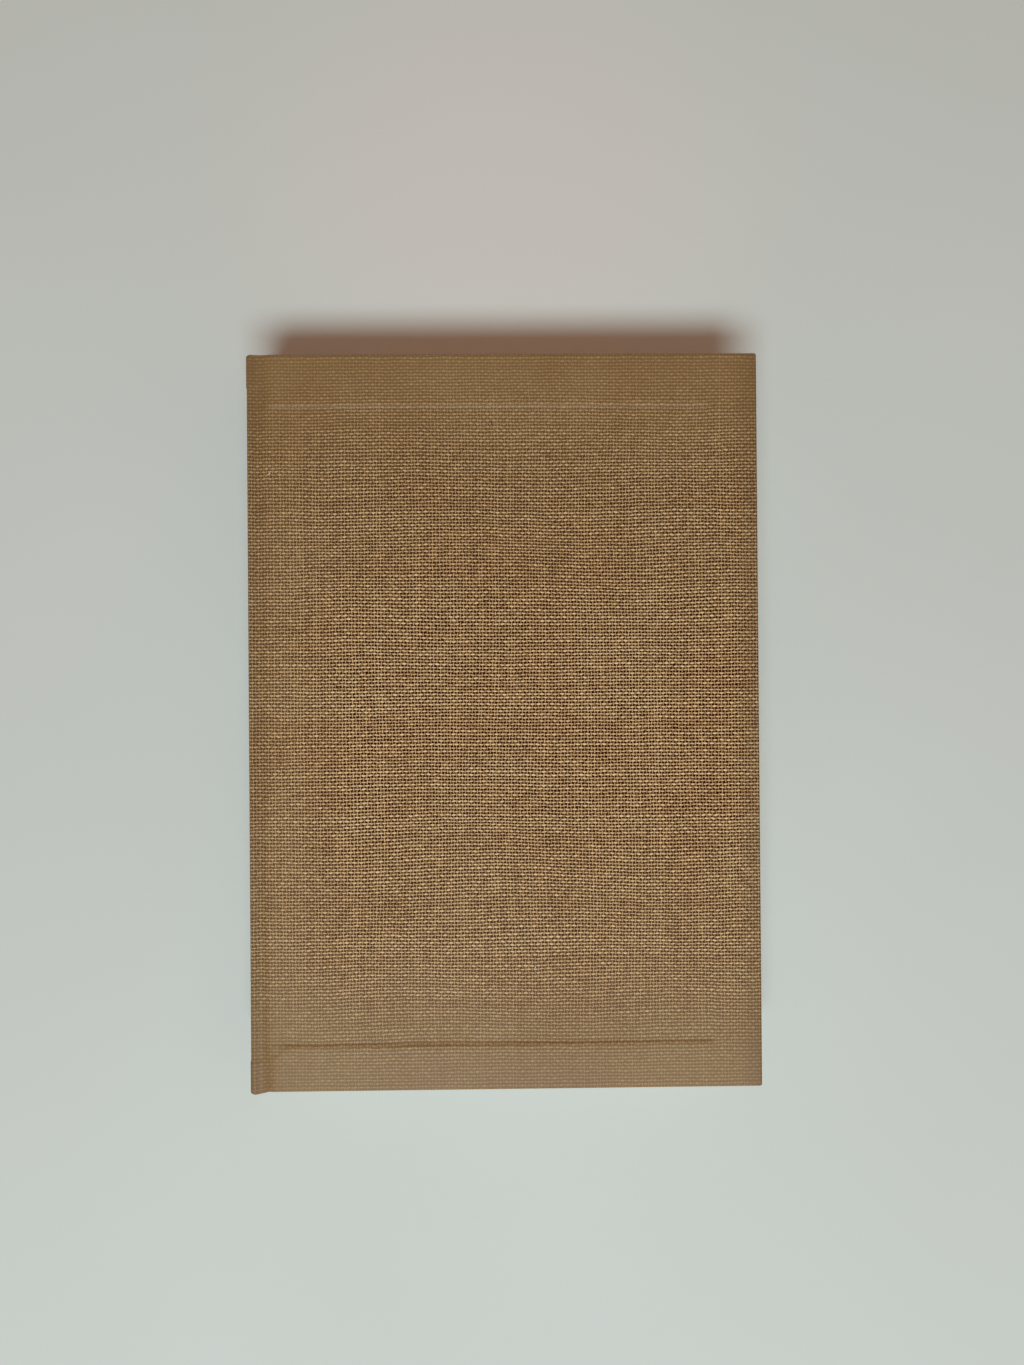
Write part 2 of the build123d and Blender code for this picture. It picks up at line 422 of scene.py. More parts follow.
def woven_colour(s, u, v):
    """Height and colour of the weave. Every thread has its own tone, and so has every crossing.
    The gaps and the threads' sides are darkened as painted shade, each gap a little differently,
    and the crests are paler as a painted highlight."""
    row = s.math("ROUND", v)
    column = s.math("ROUND", u)
    weft_height, warp_height, weft_slub = crossing_threads(s, u, v, row, column)
    height = s.math("MAXIMUM", weft_height, warp_height)
    is_warp = s.ramp(s.math("SUBTRACT", warp_height, weft_height), -0.06, 0.06)

    weft_shade = s.random(s.vector(row, 3.0))
    weft_tone = s.math("MULTIPLY_ADD", weft_slub, 0.6, s.math("MULTIPLY", weft_shade, 0.4))
    warp_shade = s.random(s.vector(column, 11.0))
    weft_colour = s.colour(
        s.ramp(weft_tone, 0.2, 0.8), linear(214, 169, 111), linear(249, 209, 151)
    )
    warp_colour = s.colour(warp_shade, linear(190, 146, 95), linear(235, 192, 136))
    threads = s.colour(is_warp, weft_colour, warp_colour)
    # Painted shade on the threads' sides: deeper and darker than the crests.
    sides = s.colour(0.65, threads, linear(168, 104, 34))
    threads = s.colour(s.ramp(height, 0.3, 0.75), sides, threads)
    # Painted highlight: the crests turn paler, standing in for sheen.
    threads = s.colour(s.ramp(height, 0.6, 1.0, 0.0, 0.4), threads, linear(244, 216, 190))
    crossing = s.random(s.vector(row, column, 17.0))
    shade = s.math("MULTIPLY_ADD", crossing, 0.3, 0.85)
    threads = s.colour(1.0, threads, shade, "MULTIPLY")
    # Painted shade in the gaps between the threads: nearly black, a little lighter at gaps
    # chosen at random.
    gap = s.random(s.vector(s.math("FLOOR", u), s.math("FLOOR", v), 23.0))
    depth = s.colour(s.ramp(gap, 0.5, 1.0, 0.0, 0.25), linear(56, 12, 0), threads)
    # Where the threads are low, the painted gap shade shows.
    return height, s.colour(s.ramp(height, 0.2, 0.6), depth, threads)


def filled_share(s, u, v):
    """How far size fills the weave: much towards the head and the tail, and a little
    at the sides."""
    from_end = s.math("MINIMUM", v, s.math("SUBTRACT", row_number[-1], v))
    open_rows = s.ramp(from_end, -1.0, SIZED_ROWS, 0.2, 0.85)
    open_rows = s.math("ADD", open_rows, s.ramp(from_end, SIZED_ROWS, 2 * SIZED_ROWS, 0.0, 0.15))
    open_columns = s.math(
        "MULTIPLY",
        s.ramp(u, -6.0, 28.0, 0.66, 1.0),
        s.ramp(u, COLUMNS - 8.0, COLUMNS, 1.0, 0.78),
    )
    return s.math("SUBTRACT", 1.0, s.math("MULTIPLY", open_rows, open_columns))


def head_shade_and_side_darkening(s, u, v, filled):
    """Painted shade towards the head, where less light falls than at the tail, and darker
    towards the joint and the fore edge.
    """
    last = row_number[-1]
    # Painted shade: darker towards the head, a little less so where size fills the weave.
    painted_head_shade = s.ramp(v, 0.45 * last, last, 1.0, 0.87)
    painted_head_shade = s.math("MAXIMUM", painted_head_shade, s.ramp(filled, 0.0, 0.8, 0.87, 0.95))
    # Darker towards the joint and the fore edge.
    darker_sides = s.math(
        "MULTIPLY",
        s.ramp(u, -8.0, 1.0, 0.86, 1.0),
        s.ramp(u, COLUMNS - 9.0, COLUMNS + 1.0, 1.0, 0.86),
    )
    return s.math("MULTIPLY", painted_head_shade, darker_sides)


def cloth_material():
    """Slubby plain-weave cloth of tan threads, with painted shade in the gaps where two pairs
    cross.
    """
    material, s = new_material("tan_book_cloth")
    counts = s.node("ShaderNodeUVMap", uv_map="threads").outputs[0]
    flat_u, flat_v = s.split(counts)[:2]
    u = s.math("ADD", flat_u, swayed(s, counts, 20.0))
    v = s.math("ADD", flat_v, swayed(s, counts, 60.0))
    height, woven = woven_colour(s, u, v)
    filled = filled_share(s, flat_u, flat_v)
    shown = s.colour(filled, woven, linear(149, 113, 69))
    # Painted shade towards the head, and darker towards the joint and the fore edge.
    shown = s.colour(1.0, shown, head_shade_and_side_darkening(s, flat_u, flat_v, filled), "MULTIPLY")

    # Broad, faint changes of tint over the cover
    broad = s.noise(s.place(), 0.03, 2.0)
    tinted = s.colour(
        s.ramp(broad, 0.35, 0.65, 0.0, 0.22), shown, linear(150, 122, 92), "SOFT_LIGHT"
    )

    fibres = s.noise(s.vector(s.math("MULTIPLY", u, 3.0), s.math("MULTIPLY", v, 14.0)), 1.0, 2.0)
    relief = s.math("MULTIPLY_ADD", fibres, 0.12, height)
    on_top = s.math("MAXIMUM", s.ramp(height, 0.15, 0.6), filled)
    s.surface(
        Base_Color=tinted,
        Roughness=0.55,
        Specular_IOR_Level=s.math("MULTIPLY", on_top, 0.3),
        Coat_Weight=s.math("MULTIPLY", on_top, 0.4),
        Coat_Roughness=0.6,
        Coat_IOR=1.56,
        Normal=s.bump(relief, 0.16, s.math("SUBTRACT", 1.0, s.math("MULTIPLY", filled, 0.9))),
    )
    return material


def paper_material(name, colour, grain):
    """Plain uncoated paper."""
    material, s = new_material(name)
    fibre = s.noise(s.place(), 2.2, 4.0)
    shade = s.colour(s.ramp(fibre, 0.3, 0.7, 0.0, grain), linear(*colour), linear(205, 192, 165))
    s.surface(Base_Color=shade, Roughness=0.85, Normal=s.bump(fibre, 0.03))
    return material


def page_edge_material():
    """The cut edges of the leaves: thin lines of slightly different shade."""
    material, s = new_material("page_edges")
    spot = s.split(s.place())
    leaf = s.math("FLOOR", s.math("MULTIPLY", spot[2], 1 / LEAF))
    shade = s.random(s.vector(leaf, 5.0))
    along_leaf = s.vector(
        s.math("MULTIPLY", spot[0], 0.08),
        s.math("MULTIPLY", spot[1], 0.08),
        s.math("MULTIPLY", leaf, 3.7),
    )
    long_grain = s.noise(along_leaf, 1.0, 2.0)
    tone = s.math("MULTIPLY_ADD", long_grain, 0.5, s.math("MULTIPLY", shade, 0.5))
    colour = s.colour(tone, linear(214, 204, 182), linear(240, 234, 218))
    s.surface(Base_Color=colour, Roughness=0.9)
    return material


def board_material():
    """Grey board pressed from pulp, with darker flecks."""
    material, s = new_material("grey_board")
    fleck = s.noise(s.place(), 1.6, 5.0, 0.7)
    colour = s.colour(s.ramp(fleck, 0.35, 0.7), linear(138, 130, 118), linear(168, 160, 148))
    s.surface(Base_Color=colour, Roughness=0.95, Normal=s.bump(fleck, 0.05))
    return material


def mull_material():
    """Open starched gauze."""
    material, s = new_material("starched_gauze")
    spot = s.split(s.place())
    across = s.math("SINE", s.math("MULTIPLY", spot[1], 2 * pi / GAUZE_PITCH))
    along = s.math("SINE", s.math("MULTIPLY", spot[2], 2 * pi / GAUZE_PITCH))
    mesh = s.ramp(s.math("MAXIMUM", across, along), 0.2, 0.9)
    colour = s.colour(mesh, linear(176, 164, 140), linear(232, 226, 210))
    s.surface(Base_Color=colour, Roughness=0.9, Normal=s.bump(mesh, 0.1))
    return material


def band_material():
    """Two silks wound in turn over a cord."""
    material, s = new_material("wound_silk")
    spot = s.split(s.place())
    turn = s.math("SINE", s.math("MULTIPLY", spot[2], 2 * pi / BAND_STRIPE))
    stripe = s.ramp(turn, -0.15, 0.15)
    colour = s.colour(stripe, linear(120, 84, 52), linear(226, 214, 190))
    s.surface(Base_Color=colour, Roughness=0.5)
    return material


def lint_material(name, colour):
    """Matt fibre of one colour."""
    material, s = new_material(name)
    s.surface(Base_Color=linear(*colour), Roughness=0.9)
    return material


def floor_material():
    """A pale matt table top with faint, broad marks, a painted warm glow beyond the head edge
    and painted shade a little way out, fading into the backdrop far out.
    """
    material, s = new_material("pale_table")
    spot = s.place()
    cloud = s.noise(spot, 0.006, 3.0)
    colour = s.colour(cloud, linear(219, 218, 213), linear(227, 227, 223))
    # Painted warm glow of room light on the table beyond the head edge.
    warm = s.ramp(s.distance(spot, PAINTED_GLOW_SPOT), 20.0, 120.0, 1.0, 0.0)
    colour = s.colour(warm, colour, linear(233, 225, 220))
    far = s.distance(spot, (0, 0, 0))
    # Painted shade: the table a little darker from 9 to 21 cm out.
    colour = s.colour(1.0, colour, s.ramp(far, 90.0, 210.0, 1.0, 0.985), "MULTIPLY")
    s.surface(
        Base_Color=colour,
        Roughness=0.6,
        Specular_IOR_Level=0.3,
        Alpha=s.ramp(far, 380.0, 900.0, 1.0, 0.0),
    )
    return material


# The cloth as one woven surface, cut where the parts of the book move


def row_places():
    """Heights up the cover of each crosswise thread and of each gap between two."""
    low = cover_tail_y + EDGE_RADIUS
    high = head_y - EDGE_RADIUS
    count = round((high - low) / WEFT_PITCH)
    widths = 1 + ROW_SPREAD * np.random.default_rng(41).uniform(-1, 1, count)
    ends = np.concatenate([[0], np.cumsum(widths)])
    ends = low + (high - low) * ends / ends[-1]
    lines = np.empty(2 * count + 1)
    lines[0::2] = ends
    lines[1::2] = (ends[:-1] + ends[1:]) / 2
    numbers = np.arange(2 * count + 1) / 2 - 0.5
    return lines, numbers


row_y, row_number = row_places()


def weave_lift(u, v):
    """How far the woven surface stands out at a thread count across and up. It is flatter
    towards the head and the tail, where size fills the weave."""
    ridge = np.cos(2 * pi * v)
    over = np.cos(pi * (u + np.round(v))) * (0.5 + 0.5 * ridge)
    relief = 0.25 + 0.75 * smooth_step(0, SIZED_ROWS, np.minimum(v, row_number[-1] - v))
    return WEAVE_RISE * ((0.6 * ridge + 0.4 * over) * relief - 1)


def panel_depth(x, y):
    """How far the cover is sunk where no turn-in lies under it, from 0 to 1."""
    half = STEP_WIDTH / 2
    head_half = HEAD_STEP_WIDTH / 2
    to_head = head_y - TURN_IN_HEAD - y
    to_fore = fore_x - TURN_IN_FORE - x
    to_tail = y - (cover_tail_y + TURN_IN_TAIL)
    mitre = np.clip(MITRE_X - x, 0, MITRE_REACH)
    depth = smooth_step(-half, half, to_tail)
    depth = np.maximum(depth, MITRE_SHARE * smooth_step(-half, half, to_tail + mitre))
    depth = depth * smooth_step(-head_half, head_half, to_head)
    return depth * smooth_step(-half, half, to_fore)


def cover_cloth(name, material, seed, flipped):
    """The cloth on one cover, over its three outer edges and onto the inner face."""
    shift_rows = random_waves(seed, *SWAY_WAVES)
    shift_columns = random_waves(seed + 1, *SWAY_WAVES)
    widths = 1 + COLUMN_SPREAD * np.random.default_rng(seed + 2).uniform(-1, 1, COLUMNS)
    places = np.concatenate([[0], np.cumsum(widths)])
    places = seam_x + (fore_x - EDGE_RADIUS - seam_x) * places / places[-1]
    column_x = np.concatenate([TUCKED_X, places])
    tucked_number = (np.array(TUCKED_X) - seam_x) / WARP_PITCH
    column_number = np.concatenate([tucked_number, np.arange(COLUMNS + 1)])

    x, y = np.meshgrid(column_x, row_y)
    u, v = np.meshgrid(column_number, row_number)
    from_sides = np.minimum(x - seam_x, fore_x - EDGE_RADIUS - x)
    from_ends = np.minimum(y - row_y[0], row_y[-1] - y)
    free = smooth_step(0, SWAY_MARGIN, from_sides) * smooth_step(0, SWAY_MARGIN, from_ends)
    y_moved = y + SWAY * free * shift_rows(x, y)
    x_moved = x + SWAY * free * shift_columns(x, y)
    sunk = PANEL_DROP * panel_depth(x_moved, y_moved)
    tuck = np.where(x < DIP_X, TUCK, 0.0)
    z = total_thickness - sunk - tuck + weave_lift(u, v)
    sheet = Sheet()
    top = sheet.add((x_moved, y_moved, z), (u, v)).reshape(x.shape)
    sheet.faces += quad_faces(top)

    # Rings from the edge of the flat part, outwards, down and back under
    edge, out = edge_loop(top)
    start = sheet.points[0][edge]
    start_counts = sheet.threads[0][edge]
    ring_tuck = np.where(start[:, 0] < DIP_X, TUCK, 0.0)
    rings = [edge]
    for reach, down, length, normal_out, normal_up in edge_profile(cover_depth, EDGE_RADIUS):
        counts = start_counts + out * (length / WARP_PITCH, length / WEFT_PITCH)
        lift = weave_lift(*counts.T) - ring_tuck
        plan = start[:, :2] + out * (reach + lift * normal_out)[:, None]
        height = total_thickness - down + lift * normal_up
        rings.append(sheet.add((*plan.T, height), counts.T))
    sheet.faces += turned(quad_faces(np.array(rings)))
    return sheet.make(name, material, flipped)


def edge_loop(top):
    """The border of the top from the joint round the tail, fore edge and head, fanned
    at the two corners: the vertex numbers, and the way outwards at each."""
    vertex, outward = [], []

    def add(numbers, direction):
        vertex.extend(numbers)
        outward.extend([direction] * len(numbers))

    def fan(number, first, last):
        for k in range(1, CORNER_STEPS):
            angle = radians(first + (last - first) * k / CORNER_STEPS)
            add([number], (cos(angle), sin(angle)))

    add(top[0, :], (0, -1))
    fan(top[0, -1], -90, 0)
    add(top[:, -1], (1, 0))
    fan(top[-1, -1], 0, 90)
    add(top[-1, ::-1], (0, 1))
    return np.array(vertex), np.array(outward, float)


def edge_profile(depth, radius, steps=5, steps_under=7):
    """Steps over an edge: reach outwards, way down, length of cloth, and its normal."""
    quarter = radius * pi / 2
    wall = depth - 2 * radius
    profile = []
    for k in range(1, steps + 1):
        angle = pi / 2 * k / steps
        across, up = sin(angle), cos(angle)
        profile.append((radius * across, radius * (1 - up), radius * angle, across, up))
    for k in range(1, steps):
        down = radius + wall * k / steps
        profile.append((radius, down, quarter + down - radius, 1.0, 0.0))
    for k in range(steps + 1):
        angle = pi / 2 * k / steps
        down = depth - radius * (1 - sin(angle))
        length = quarter + wall + radius * angle
        profile.append((radius * cos(angle), down, length, cos(angle), -sin(angle)))
    for k in range(1, steps_under + 1):
        inward = TURN_UNDER * k / steps_under
        length = 2 * quarter + wall + inward
        profile.append((-inward, depth, length, 0.0, -1.0))
    return profile


def counts_along(line):
    """Thread counts along a line of points, up to 0 at its end."""
    lengths = np.hypot(*np.diff(line, axis=0).T)
    along = np.concatenate([[0], np.cumsum(lengths)])
    return (along - along[-1]) / WARP_PITCH


def joint_section(steps_down=8, steps_up=12):
    """Points of the joint from the spine's shoulder to the cover: u, v, and thread count."""
    points = []
    for t in np.linspace(0, 1, steps_down + 1):
        u = CREST[0] + t * (GROOVE[0] - CREST[0])
        points.append((u, GROOVE[1] + (CREST[1] - GROOVE[1]) * (0.5 + 0.5 * cos(pi * t))))
    for t in np.linspace(0, 1, steps_up + 1)[1:]:
        u = GROOVE[0] + t * (SEAM_U - GROOVE[0])
        rise = cover_depth - GROOVE[1]
        points.append((u, GROOVE[1] + rise * (0.5 - 0.5 * cos(pi * t))))
    points = np.array(points)
    return points, counts_along(points)


def normals_of(points):
    """Outward normals of an open line drawn from left to right in x and z."""
    step = np.gradient(points, axis=0)
    normal = np.column_stack([-step[:, 1], step[:, 0]])
    return normal / np.hypot(*normal.T)[:, None]


def tail_drop(x):
    """How far below the cover's tail edge the cloth hangs at a place across the spine."""
    return (cover_tail_y - spine_tail_y) * (1 - smooth_step(*HANG_FADE, x))


def hung_rows(x):
    """The rows' heights at each column, with those next to the tail drawn down."""
    share = 1 - smooth_step(0, HANG_ROWS, row_y - row_y[0])
    return row_y[:, None] - share[:, None] * tail_drop(x)[None, :]


def spine_step(y):
    """A faint step where the spine's turn-in ends under the cloth."""
    half = SPINE_STEP_WIDTH / 2
    from_tail = y - spine_tail_y - SPINE_TURN_IN
    from_head = head_y - y - SPINE_TURN_IN
    depth = smooth_step(-half, half, from_tail) * smooth_step(-half, half, from_head)
    return SPINE_STEP_DEPTH * depth


def joint_cloth(name, material, flipped):
    """The cloth that bends between the spine's shoulder and a cover."""
    section, counts = joint_section()
    section_u, section_v = section.T
    normal_x, normal_z = normals_of(section).T
    x = hinge_x + section_u
    z = front_inner + section_v
    y = hung_rows(x)
    u, v = np.meshgrid(counts, row_number)
    near_cover = smooth_step(PANEL_STEP_U, SEAM_U, section_u)
    sunk = PANEL_DROP * panel_depth(np.broadcast_to(x, y.shape), y) * near_cover
    sunk = sunk + spine_step(y) * (1 - smooth_step(*SPINE_STEP_FADE, section_u))
    lift = weave_lift(u, v)
    sheet = Sheet()
    places = (x + lift * normal_x, y, z - sunk + lift * normal_z)
    top = sheet.add(places, (u, v)).reshape(y.shape)
    sheet.faces += quad_faces(top)

    # Over the tail end and the head end, and a little way back under
    grown = smooth_step(FOLD_U, BOARD_U, section_u)
    thickness = FOLD_THICKNESS + (section_v - FOLD_THICKNESS) * grown
    for line, direction in ((0, -1), (-1, 1)):
        rings = [top[line]]
        for reach, down, length, upward in end_profile(thickness):
            count_v = row_number[line] + direction * length / WEFT_PITCH
            lift = weave_lift(counts, count_v)
            raised = upward * lift
            end_y = y[line] + direction * (reach + END_RELIEF * (lift - raised))
            places = (x + raised * normal_x, end_y, z - down + raised * normal_z)
            rings.append(sheet.add(places, (counts, count_v)))
        sheet.faces += turned(quad_faces(np.array(rings)), direction)
    return sheet.make(name, material, flipped)


def end_profile(thickness, steps=4, wall_steps=3, steps_under=5):
    """Over the end of a folded cloth: reach, way down and length of cloth per column, and
    how far the cloth's outside still faces up."""
    radius = np.minimum(EDGE_RADIUS, thickness / 2)
    flat = EDGE_RADIUS - radius
    quarter = radius * pi / 2
    wall = thickness - 2 * radius
    profile = []
    for k in range(steps + 1):
        angle = pi / 2 * k / steps
        down = radius * (1 - cos(angle))
        profile.append((flat + radius * sin(angle), down, flat + radius * angle, cos(angle)))
    for k in range(1, wall_steps):
        part = wall * k / wall_steps
        profile.append((flat + radius, radius + part, flat + quarter + part, 0.0))
    for k in range(steps + 1):
        angle = pi / 2 * k / steps
        down = thickness - radius * (1 - sin(angle))
        length = flat + quarter + wall + radius * angle
        profile.append((flat + radius * cos(angle), down, length, 0.0))
    for k in range(1, steps_under + 1):
        inward = JOINT_TURN_UNDER * k / steps_under
        length = flat + 2 * quarter + wall + inward
        profile.append((flat - inward, thickness, length, 0.0))
    return profile


def spine_outline():
    """The section of the spine as a closed loop of x, z and outward normal: first the
    outside from the back shoulder's crest to the front one's, then the inside."""
    left = spine_x
    right = spine_x + SPINE_THICKNESS
    radius = SHOULDER_RADIUS
    inner_radius = SPINE_THICKNESS - radius
    top_z = front_inner + CREST[1]
    bottom_z = cover_depth - CREST[1]
    low, high = bottom_z + radius, top_z - radius
    loop = []

    def arc(centre_x, centre_z, first, last, size, steps):
        for k in range(steps + 1):
            angle = radians(first + (last - first) * k / steps)
            across, up = cos(angle), sin(angle)
            loop.append((centre_x + size * across, centre_z + size * up, across, up))

    def wall(x, first, last, count, normal):
        for z in np.linspace(first, last, count)[1:-1]:
            loop.append((x, z, normal, 0.0))

    arc(left + radius, low, 270, 180, radius, 8)
    wall(left, low, high, 26, -1.0)
    arc(left + radius, high, 180, 90, radius, 8)
    outer_count = len(loop)
    inner_x = right - inner_radius
    arc(inner_x, top_z - INNER_SINK - inner_radius, 75, 0, inner_radius, 4)
    wall(right, high, low, 6, 1.0)
    arc(inner_x, bottom_z + INNER_SINK + inner_radius, 0, -75, inner_radius, 4)
    return np.array(loop), outer_count


def spine_cloth(material, steps=5):
    """The cloth over the spine, with its rolled ends."""
    loop, outer_count = spine_outline()
    outer, inner = loop[:outer_count], loop[outer_count:]
    counts = joint_section()[1][0] + counts_along(outer[:, :2])
    inner_counts = counts[-1] + 1 + np.arange(len(inner)) * INNER_COUNT
    all_counts = np.concatenate([counts, inner_counts])
    y = hung_rows(outer[:, 0])
    u, v = np.meshgrid(counts, row_number)
    out = weave_lift(u, v) - spine_step(y)
    sheet = Sheet()
    places = (outer[:, 0] + out * outer[:, 2], y, outer[:, 1] + out * outer[:, 3])
    top = sheet.add(places, (u, v)).reshape(y.shape)
    sheet.faces += quad_faces(top)

    for line, direction in ((0, -1), (-1, 1)):
        start_y = y[line, 0]
        inner_rows = []
        for inward in SPINE_TURN_IN_ROWS:
            places = (inner[:, 0], start_y - direction * inward, inner[:, 1])
            count_v = row_number[line] - direction * inward
            inner_rows.append(sheet.add(places, (inner_counts, count_v)))
        rings = [np.concatenate([top[line], inner_rows[-1]])]
        for k in range(1, steps + 1):
            angle = pi / 2 * k / steps
            inset = SPINE_END_RADIUS * (1 - cos(angle))
            reach = EDGE_RADIUS - SPINE_END_RADIUS + SPINE_END_RADIUS * sin(angle)
            count_v = row_number[line] + direction * SPINE_END_RADIUS * angle / WEFT_PITCH
            lift = weave_lift(all_counts, count_v) * cos(angle)
            ring = loop[:, :2] - loop[:, 2:] * (inset - lift)[:, None]
            places = (ring[:, 0], start_y + direction * reach, ring[:, 1])
            rings.append(sheet.add(places, (all_counts, count_v)))
        end_faces = quad_faces(closed(rings)) + quad_faces(np.array(inner_rows))
        end_faces.append(rings[-1].tolist())
        sheet.faces += turned(end_faces, direction)
    return sheet.make("spine_covering", material)


def endpaper_joint(name, material, flipped):
    """The endpaper where it crosses the hinge, from its fold to the edge of the pastedown."""
    start, end = PAPER_BEND
    across = np.linspace(start - PAPER_MARGIN, end + PAPER_MARGIN, 24)
    along = np.linspace(page_low[1], page_high[1], 30)
    x, y = np.meshgrid(hinge_x + np.concatenate([[0], across]), along)
    points, faces = [], []
    for level, facing in PAPER_FACES:
        index = np.arange(x.size).reshape(x.shape) + len(points) * x.size
        points.append(table(x, y, front_inner + level))
        faces += quad_faces(index[::facing])
    return make_mesh(name, np.concatenate(points), faces, material, None, flipped)


# Pages, bands and lint


def page_outline():
    """The outline of the pages seen from above, and the way outwards at each point."""
    left, right = hinge_x + FOLD_DEPTH, page_high[0]
    along_x = np.linspace(left, right, 26)
    along_y = np.linspace(page_low[1], page_high[1], 36)
    plan, outward = [], []
    for x, y, direction in (
        (along_x, page_low[1], (0, -1)),
        (right, along_y[1:-1], (1, 0)),
        (along_x[::-1], page_high[1], (0, 1)),
        (left, along_y[::-1][1:-1], (-1, 0)),
    ):
        side = table(x, y)
        plan.append(side)
        outward.append(np.broadcast_to(direction, side.shape))
    return np.concatenate(plan), np.concatenate(outward).astype(float)


def page_block(material):
    """All the leaves as one block, each leaf a fine ridge, and the folds rounded."""
    pages = np.random.default_rng(8)
    plan, normal = page_outline()
    at_spine = plan[:, 0] <= hinge_x + FOLD_DEPTH + 1e-6
    wander = random_waves(5, *PAGE_WAVES)
    section_step = pages.uniform(-SECTION_SHIFT, SECTION_SHIFT, SECTION_COUNT)
    leaf_step = pages.uniform(-LEAF_SHIFT, LEAF_SHIFT, LEAF_COUNT)
    points = []
    for k in range(2 * LEAF_COUNT + 1):
        leaf = min(k // 2, LEAF_COUNT - 1)
        section = leaf // LEAVES_IN_SECTION
        z = page_low[2] + k * LEAF / 2
        inset = LEAF_GAP if k % 2 == 0 else LEAF_EDGE
        if k % (2 * LEAVES_IN_SECTION) == 0:
            inset = SECTION_GAP
        inset = inset - section_step[section] - leaf_step[leaf]
        across = plan[:, 0] + SECTION_STRIDE * section
        inset = inset + PAGE_WAVE * wander(across, plan[:, 1] + LEAF_STRIDE * leaf)
        in_section = (z - page_low[2]) / (LEAF * LEAVES_IN_SECTION) % 1.0
        fold = FOLD_DEPTH * 2 * np.sqrt(max(in_section * (1 - in_section), 0))
        outset = np.where(normal[:, 0] < 0, 0.0, -np.maximum(inset, 0))
        place = plan + normal * outset[:, None]
        place[:, 0] -= np.where(at_spine, fold, 0)
        points.append(table(*place.T, z))
    rings = np.arange(len(points) * len(plan)).reshape(-1, len(plan))
    made = make_mesh("leaves", np.concatenate(points), tube_faces(rings), material)
    made.data.polygons.foreach_set("use_smooth", [False] * len(made.data.polygons))
    return made


def wound_band(name, node, direction, material, sides=16):
    """A rolled band of wound silk at one end of the spine, with its glued flange."""
    low, high = [np.array(p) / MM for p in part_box(node)]
    centre_x = high[0] - BAND_RADIUS
    centre_y = (high[1] if direction > 0 else low[1]) - direction * BAND_RADIUS
    turns = round((high[2] - low[2]) / BAND_TURN)
    points = []
    for z in np.linspace(low[2], high[2], 4 * turns + 1):
        for angle in np.linspace(0, 2 * pi, sides + 1)[:-1]:
            wave = cos(2 * pi * (z - low[2]) / BAND_TURN + angle)
            radius = BAND_RADIUS - BAND_RELIEF + BAND_RELIEF * wave
            points.append((centre_x + radius * cos(angle), centre_y + radius * sin(angle), z))
    first = len(points)
    faces = tube_faces(np.arange(first).reshape(-1, sides))

    # The flange is a thin box, from the roll inwards along the spine
    near_x, far_x = low[0], low[0] + FLANGE_THICKNESS
    far_y = low[1] if direction > 0 else high[1]
    for z in (low[2], high[2]):
        for x, y in ((near_x, far_y), (far_x, far_y), (far_x, centre_y), (near_x, centre_y)):
            points.append((x, y, z))
    rings = first + np.arange(8).reshape(2, 4)
    faces += turned(tube_faces(rings), direction)
    return make_mesh(name, np.array(points), faces, material)


def lint(name, x, y, turn, length, material, sides=6):
    """A stray fibre lying on the front cover: a thin bent rod, thinner at its ends."""
    along = np.array([cos(turn), sin(turn), 0])
    across = np.array([-sin(turn), cos(turn), 0])
    up = np.array([0, 0, 1])
    middle = np.array([x, y, total_thickness - PANEL_DROP * float(panel_depth(x, y))])
    points = []
    for t in np.linspace(-1, 1, 7):
        centre = middle + along * t * length / 2 + across * LINT_BEND * length * t * t
        radius = LINT_RADIUS * (1 - LINT_TAPER * t * t)
        for angle in np.linspace(0, 2 * pi, sides + 1)[:-1]:
            points.append(centre + radius * (across * cos(angle) + up * sin(angle)))
    rings = np.arange(len(points)).reshape(-1, sides)
    made = make_mesh(name, np.array(points), tube_faces(rings), material)
    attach(made, "front_cover")


def bend(made, flipped):
    """Bakes a piece's placement into its mesh, the same way whether it is flipped or not."""
    if flipped:
        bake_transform(made)
    else:
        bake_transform(made)


def give_material(node, material):
    """A solid that stays gets its material."""
    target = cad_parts[node]
    target.data.materials.clear()
    target.data.materials.append(material)


# Making the pieces

cloth = cloth_material()
endpaper = paper_material("endpaper", (238, 232, 216), 0.25)
lining = paper_material("lining_paper", (196, 172, 132), 0.3)
board = board_material()
gauze = mull_material()
silk = band_material()

front_cloth = cover_cloth("front_cover_cloth_woven", cloth, 11, False)
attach(front_cloth, "front_cover")
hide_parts("front_cover_cloth")

back_cloth = cover_cloth("back_cover_cloth_woven", cloth, 23, True)
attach(back_cloth, "back_cover")
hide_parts("back_cover_cloth")

spine = spine_cloth(cloth)
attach(spine, "book_block")
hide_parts("spine_cloth")

for side, flipped in (("front", False), ("back", True)):
    joint = joint_cloth(f"{side}_joint_cloth", cloth, flipped)
    bend(joint, flipped)
    strip = endpaper_joint(f"{side}_endpaper_joint", endpaper, flipped)
    bend(strip, flipped)

leaves = page_block(page_edge_material())
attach(leaves, "book_block")
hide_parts("page_block")

for name, node, direction in (
    ("head_band_wound", "head_band", 1),
    ("tail_band_wound", "tail_band", -1),
):
    wound = wound_band(name, node, direction, silk)
    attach(wound, "book_block")
    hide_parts(node)

blue_fibre = lint_material("blue_fibre", (42, 52, 96))
pale_fibre = lint_material("pale_fibre", (226, 222, 214))
lint("blue_lint", -3.1, 87.7, 1.9, 1.3, blue_fibre)
lint("pale_lint_by_the_joint", -68.1, 73.1, 0.6, 1.0, pale_fibre)
lint("pale_lint_near_the_tail", 8.6, -71.7, 1.2, 1.1, pale_fibre)

for node, material in (
    ("front_flyleaf", endpaper),
    ("back_flyleaf", endpaper),
    ("front_pastedown", endpaper),
    ("back_pastedown", endpaper),
    ("spine_mull", gauze),
    ("spine_lining", lining),
    ("spine_strip", board),
    ("front_board", board),
    ("back_board", board),
):
    give_material(node, material)


# The table, the light and the camera


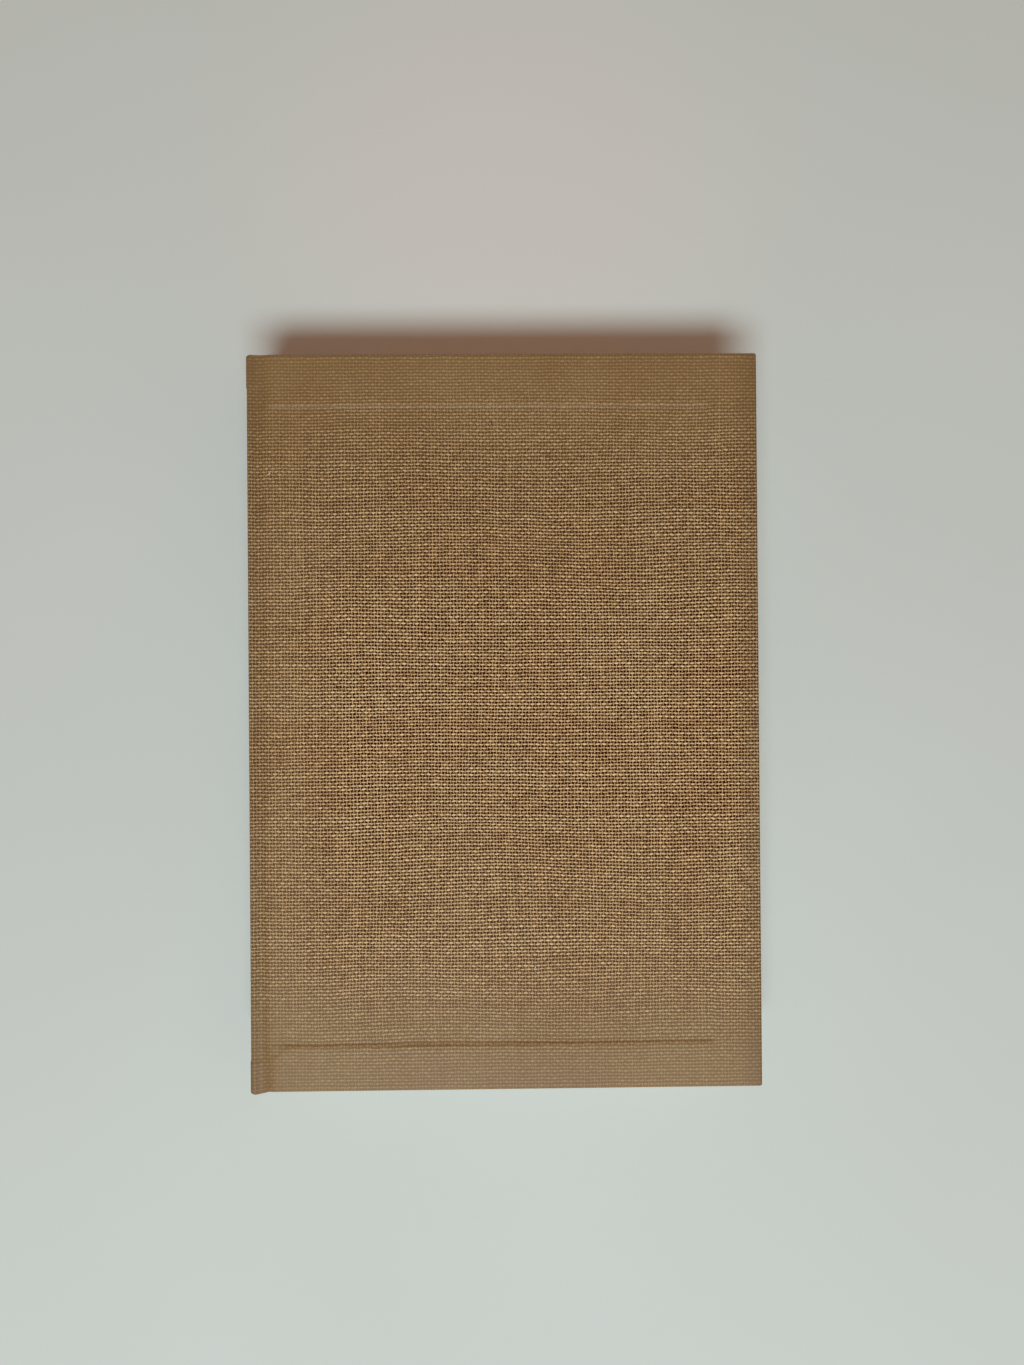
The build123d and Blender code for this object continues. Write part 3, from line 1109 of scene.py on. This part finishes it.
def make_floor():
    """The table that the journal lies on."""
    half = TABLE_HALF
    mesh = bpy.data.meshes.new("table_top")
    corners = [(-half, -half, 0), (half, -half, 0), (half, half, 0), (-half, half, 0)]
    mesh.from_pydata(corners, [], [(0, 1, 2, 3)])
    mesh.materials.append(floor_material())
    made = bpy.data.objects.new("table_top", mesh)
    bpy.context.scene.collection.objects.link(made)


def make_lamp():
    """A broad soft lamp beyond the tail, high up, as a window lights the photograph."""
    lamp = bpy.data.lights.new("window", "AREA")
    lamp.shape = "ELLIPSE"
    lamp.size, lamp.size_y = KEY_SIZE
    lamp.energy = KEY_POWER
    lamp.color = KEY_COLOUR
    lean = radians(KEY_ELEVATION)
    place = Vector((KEY_X, -KEY_DISTANCE * cos(lean), KEY_DISTANCE * sin(lean)))
    made = bpy.data.objects.new("window", lamp)
    made.location = place
    made.rotation_euler = (-place).to_track_quat("-Z", "Y").to_euler()
    bpy.context.scene.collection.objects.link(made)


def make_world():
    """A weak warm fill from all sides, seen as a pale backdrop."""
    world = bpy.data.worlds.new("room")
    bpy.context.scene.world = world
    world.use_nodes = True
    s = Shader(world.node_tree)
    path = s.node("ShaderNodeLightPath").outputs
    seen = s.math("MAXIMUM", path["Is Camera Ray"], path["Is Transmission Ray"])
    fill = s.node("ShaderNodeBackground", {0: FILL_COLOUR, 1: FILL_STRENGTH})
    backdrop = s.node("ShaderNodeBackground", {0: linear(212, 214, 209), 1: 1.0})
    mixed = s.node("ShaderNodeMixShader", {0: seen, 1: fill.outputs[0], 2: backdrop.outputs[0]})
    output = s.node("ShaderNodeOutputWorld")
    s.tree.links.new(mixed.outputs[0], output.inputs["Surface"])


def make_camera():
    """Straight down, as the photograph was taken, about 30 cm above the cover."""
    camera = bpy.data.cameras.new("overhead")
    camera.sensor_width = CAMERA_SENSOR
    camera.lens = CAMERA_LENS
    made = bpy.data.objects.new("overhead", camera)
    made.location = CAMERA_PLACE
    made.rotation_euler = Euler([radians(angle) for angle in CAMERA_TURN])
    bpy.context.scene.collection.objects.link(made)
    bpy.context.scene.camera = made


make_floor()
make_lamp()
make_world()
make_camera()
bpy.context.scene.view_settings.view_transform = "Standard"
